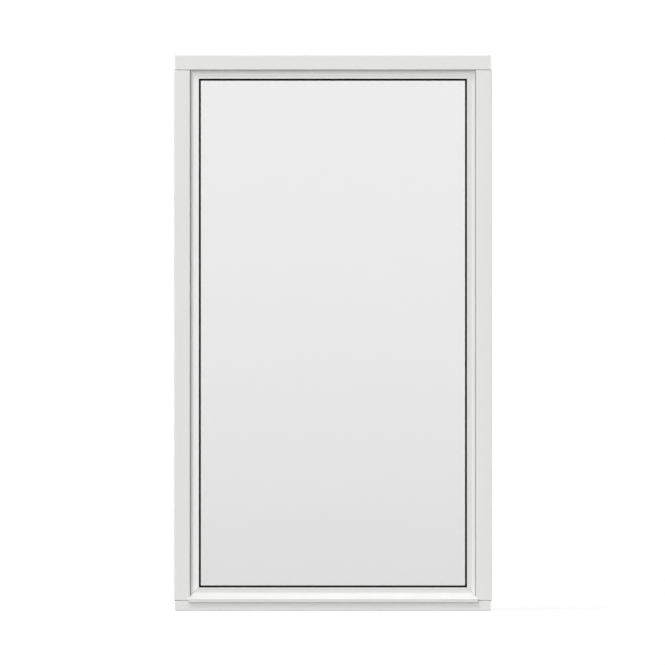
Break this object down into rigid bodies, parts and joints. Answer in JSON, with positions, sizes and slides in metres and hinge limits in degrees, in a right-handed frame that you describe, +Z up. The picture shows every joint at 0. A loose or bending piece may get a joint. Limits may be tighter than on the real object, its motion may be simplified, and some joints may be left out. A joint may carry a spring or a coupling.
{
  "type": "fixed picture window",
  "caption": "Tall fixed window: white painted timber frame, sealed triple glass unit on setting blocks, coved glazing beads with black gaskets and a weather bead with a drip nose.",
  "frame": {"origin": "centre of the sill's underside, midway between the frame's outer and room faces", "axes": "+X to the right seen from outside, +Y from the outside towards the room, +Z up"},
  "size_m": [0.8, 0.1168, 1.4],
  "materials": {
    "white_paint": "satin white paint on timber",
    "clear_glass": "clear float glass",
    "gasket_rubber": "matt black rubber",
    "spacer_bar": "matt dark grey warm-edge bar",
    "edge_sealant": "matt black sealant",
    "setting_block": "matt moulded plastic"
  },
  "bodies": {
    "root": {"frame_head": "white_paint", "frame_left_jamb": "white_paint", "frame_right_jamb": "white_paint", "frame_sill": "white_paint", "head_bead": "white_paint", "left_bead": "white_paint", "right_bead": "white_paint", "weather_bead": "white_paint", "outer_pane": "clear_glass", "middle_pane": "clear_glass", "inner_pane": "clear_glass", "head_outer_gasket": "gasket_rubber", "left_outer_gasket": "gasket_rubber", "right_outer_gasket": "gasket_rubber", "sill_outer_gasket": "gasket_rubber", "head_inner_gasket": "gasket_rubber", "left_inner_gasket": "gasket_rubber", "right_inner_gasket": "gasket_rubber", "sill_inner_gasket": "gasket_rubber", "outer_spacer": "spacer_bar", "inner_spacer": "spacer_bar", "outer_edge_seal": "edge_sealant", "inner_edge_seal": "edge_sealant", "left_setting_block": "setting_block", "right_setting_block": "setting_block", "left_lower_location_block": "setting_block", "left_upper_location_block": "setting_block", "left_head_location_block": "setting_block", "right_lower_location_block": "setting_block", "right_upper_location_block": "setting_block", "right_head_location_block": "setting_block"}
  },
  "joints": []
}
